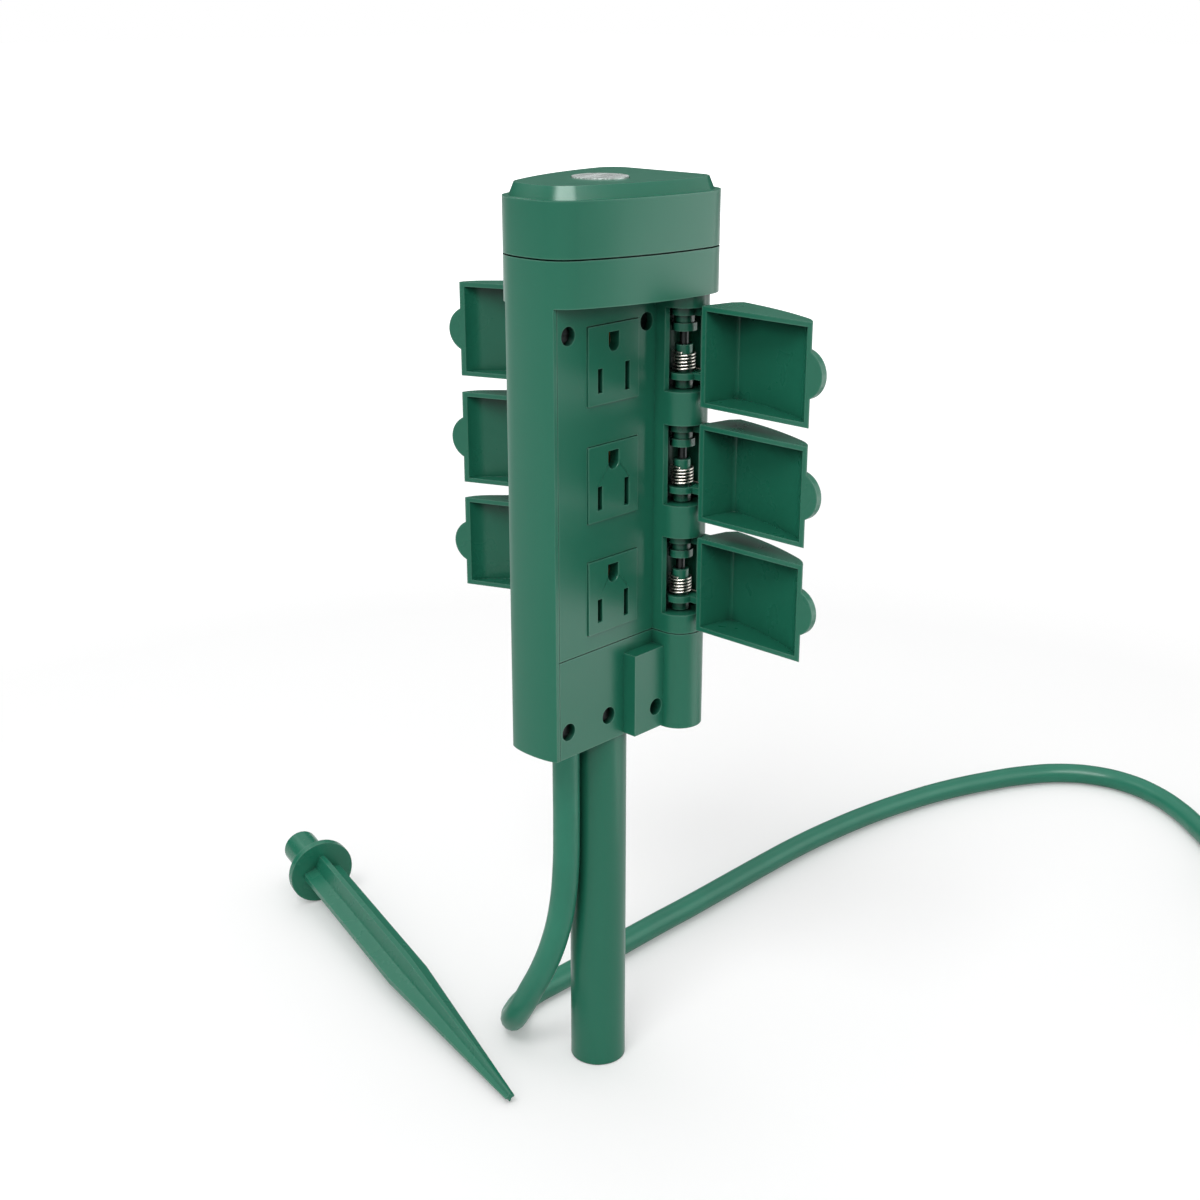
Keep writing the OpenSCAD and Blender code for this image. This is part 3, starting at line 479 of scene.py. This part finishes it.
def button_spring():
    """A coil in the place of the CAD spring."""
    low, high = [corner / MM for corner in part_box("button_spring")]
    button_at = Vector(((low.x + high.x) / 2, (low.y + high.y) / 2, low.z))
    button_tall = high.z - low.z
    radius = (high.x - low.x - BUTTON_WIRE) / 2
    winding = curls(radius, (button_tall - BUTTON_WIRE) / BUTTON_CURLS, BUTTON_CURLS)
    lowest = button_at + Vector((0, 0, BUTTON_WIRE / 2))
    button_coil = wire_piece("button_coil", [lowest + p for p in winding], BUTTON_WIRE / 2, "steel",
                             "stand", ("button_spring",), as_mesh=True)
    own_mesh(button_coil)


for side in ("front", "back"):
    for i in (1, 2, 3):
        hinge_spring(f"cover_{side}_{i}")
button_spring()

# Floor and world

FLOOR_HALF = 14.0
FLOOR_DROP = 0.0003
FLOOR_COLOR = (0.78, 0.78, 0.78, 1)
FLOOR_GLOW = 0.20
FADE_START, FADE_END = 0.5, 2.2
WORLD_LIGHT = 0.74


def floor_material():
    """Pale and lit near the object, where shadows show, and white further out."""
    material = bpy.data.materials.new("floor")
    material.use_nodes = True
    material.node_tree.nodes.clear()
    t = Tree(material.node_tree)
    where = t.add("ShaderNodeTexCoord").outputs["Object"]
    away = t.add("ShaderNodeVectorMath", {0: where}, operation="LENGTH").outputs["Value"]
    fade = t.span(away, FLOOR_GLOW, 1.0, start=FADE_START, end=FADE_END)
    strength = t.combine("MULTIPLY", fade, t.seen_directly())
    glow = t.add("ShaderNodeEmission", {"Color": WHITE, "Strength": strength}).outputs[0]
    lit = t.add("ShaderNodeBsdfDiffuse", {"Color": FLOOR_COLOR}).outputs[0]
    both = t.add("ShaderNodeAddShader", {0: lit, 1: glow}).outputs[0]
    t.add("ShaderNodeOutputMaterial", {"Surface": both})
    return material


def plain_floor():
    corners = [(-FLOOR_HALF, -FLOOR_HALF, 0), (FLOOR_HALF, -FLOOR_HALF, 0), (FLOOR_HALF, FLOOR_HALF, 0),
               (-FLOOR_HALF, FLOOR_HALF, 0)]
    mesh = bpy.data.meshes.new("floor")
    mesh.from_pydata(corners, [], [(0, 1, 2, 3)])
    mesh.materials.append(floor_material())
    floor = bpy.data.objects.new("floor", mesh)
    floor.location.z = -FLOOR_DROP
    bpy.context.scene.collection.objects.link(floor)


def plain_world():
    """An even light, which is white where it is seen itself."""
    world = bpy.data.worlds.new("world")
    bpy.context.scene.world = world
    world.use_nodes = True
    t = Tree(world.node_tree)
    sky = next(n for n in t.tree.nodes if n.type == "BACKGROUND")
    t.put(sky.inputs["Color"], WHITE)
    t.put(sky.inputs["Strength"], t.span(t.seen_directly(), WORLD_LIGHT, 1.0))


plain_floor()
plain_world()

# Lamps and cards

MIDDLE = (0, 0, 0.18)
HEAD = (0, 0, 0.316)
FLAG_COLOR = (0.10, 0.11, 0.11, 1)
FLAG_SIDES = 48


def softbox(name, at, aim, width, height, radiance, only_gloss=False):
    """A rectangular lamp whose face has that radiance, and that the camera doesn't see."""
    lamp = bpy.data.lights.new(name, "AREA")
    lamp.shape = "RECTANGLE"
    lamp.size = width
    lamp.size_y = height
    lamp.energy = radiance * math.pi * width * height
    lamp_object = bpy.data.objects.new(name, lamp)
    lamp_object.location = at
    lamp_object.rotation_euler = (Vector(aim) - Vector(at)).to_track_quat("-Z", "Y").to_euler()
    lamp_object.visible_camera = False
    lamp_object.visible_diffuse = not only_gloss
    bpy.context.scene.collection.objects.link(lamp_object)


def gloss_flag(name, radius, height):
    """A dark wall round the set, which only reflections see: it keeps pale sheen off the tops."""
    angles = [2 * math.pi * i / FLAG_SIDES for i in range(FLAG_SIDES)]
    points = [(radius * math.cos(a), radius * math.sin(a), z) for z in (0, height) for a in angles]
    onward = [(i + 1) % FLAG_SIDES for i in range(FLAG_SIDES)]
    walls = [(i, j, FLAG_SIDES + j, FLAG_SIDES + i) for i, j in enumerate(onward)]
    mesh = bpy.data.meshes.new(name)
    mesh.from_pydata(points, [], walls)
    mesh.materials.append(Shader(name, Base_Color=FLAG_COLOR, Roughness=1.0).material)
    flag = bpy.data.objects.new(name, mesh)
    bpy.context.scene.collection.objects.link(flag)
    for kind in ("camera", "diffuse", "transmission", "shadow", "volume_scatter"):
        setattr(flag, f"visible_{kind}", False)


softbox("key_lamp", (-0.95, -0.35, 1.60), MIDDLE, 0.6, 0.6, 8.6)
softbox("top_lamp", (0.10, 0.10, 1.9), MIDDLE, 1.2, 1.2, 1.1)
softbox("right_card", (0.50, -0.62, 0.31), (0, 0, 0.24), 0.9, 0.62, 2.6, only_gloss=True)
softbox("floor_card", (0.42, -0.44, 0.004), (0.42, -0.44, 1), 0.6, 0.6, 1.6, only_gloss=True)
softbox("nose_card", (-0.60, -0.67, 1.05), HEAD, 1.30, 0.46, 18.0, only_gloss=True)
softbox("back_card", (-0.35, 0.95, 1.05), (0, 0.16, 0.02), 0.9, 0.22, 7.0, only_gloss=True)
gloss_flag("gloss_flag", radius=3.0, height=1.5)
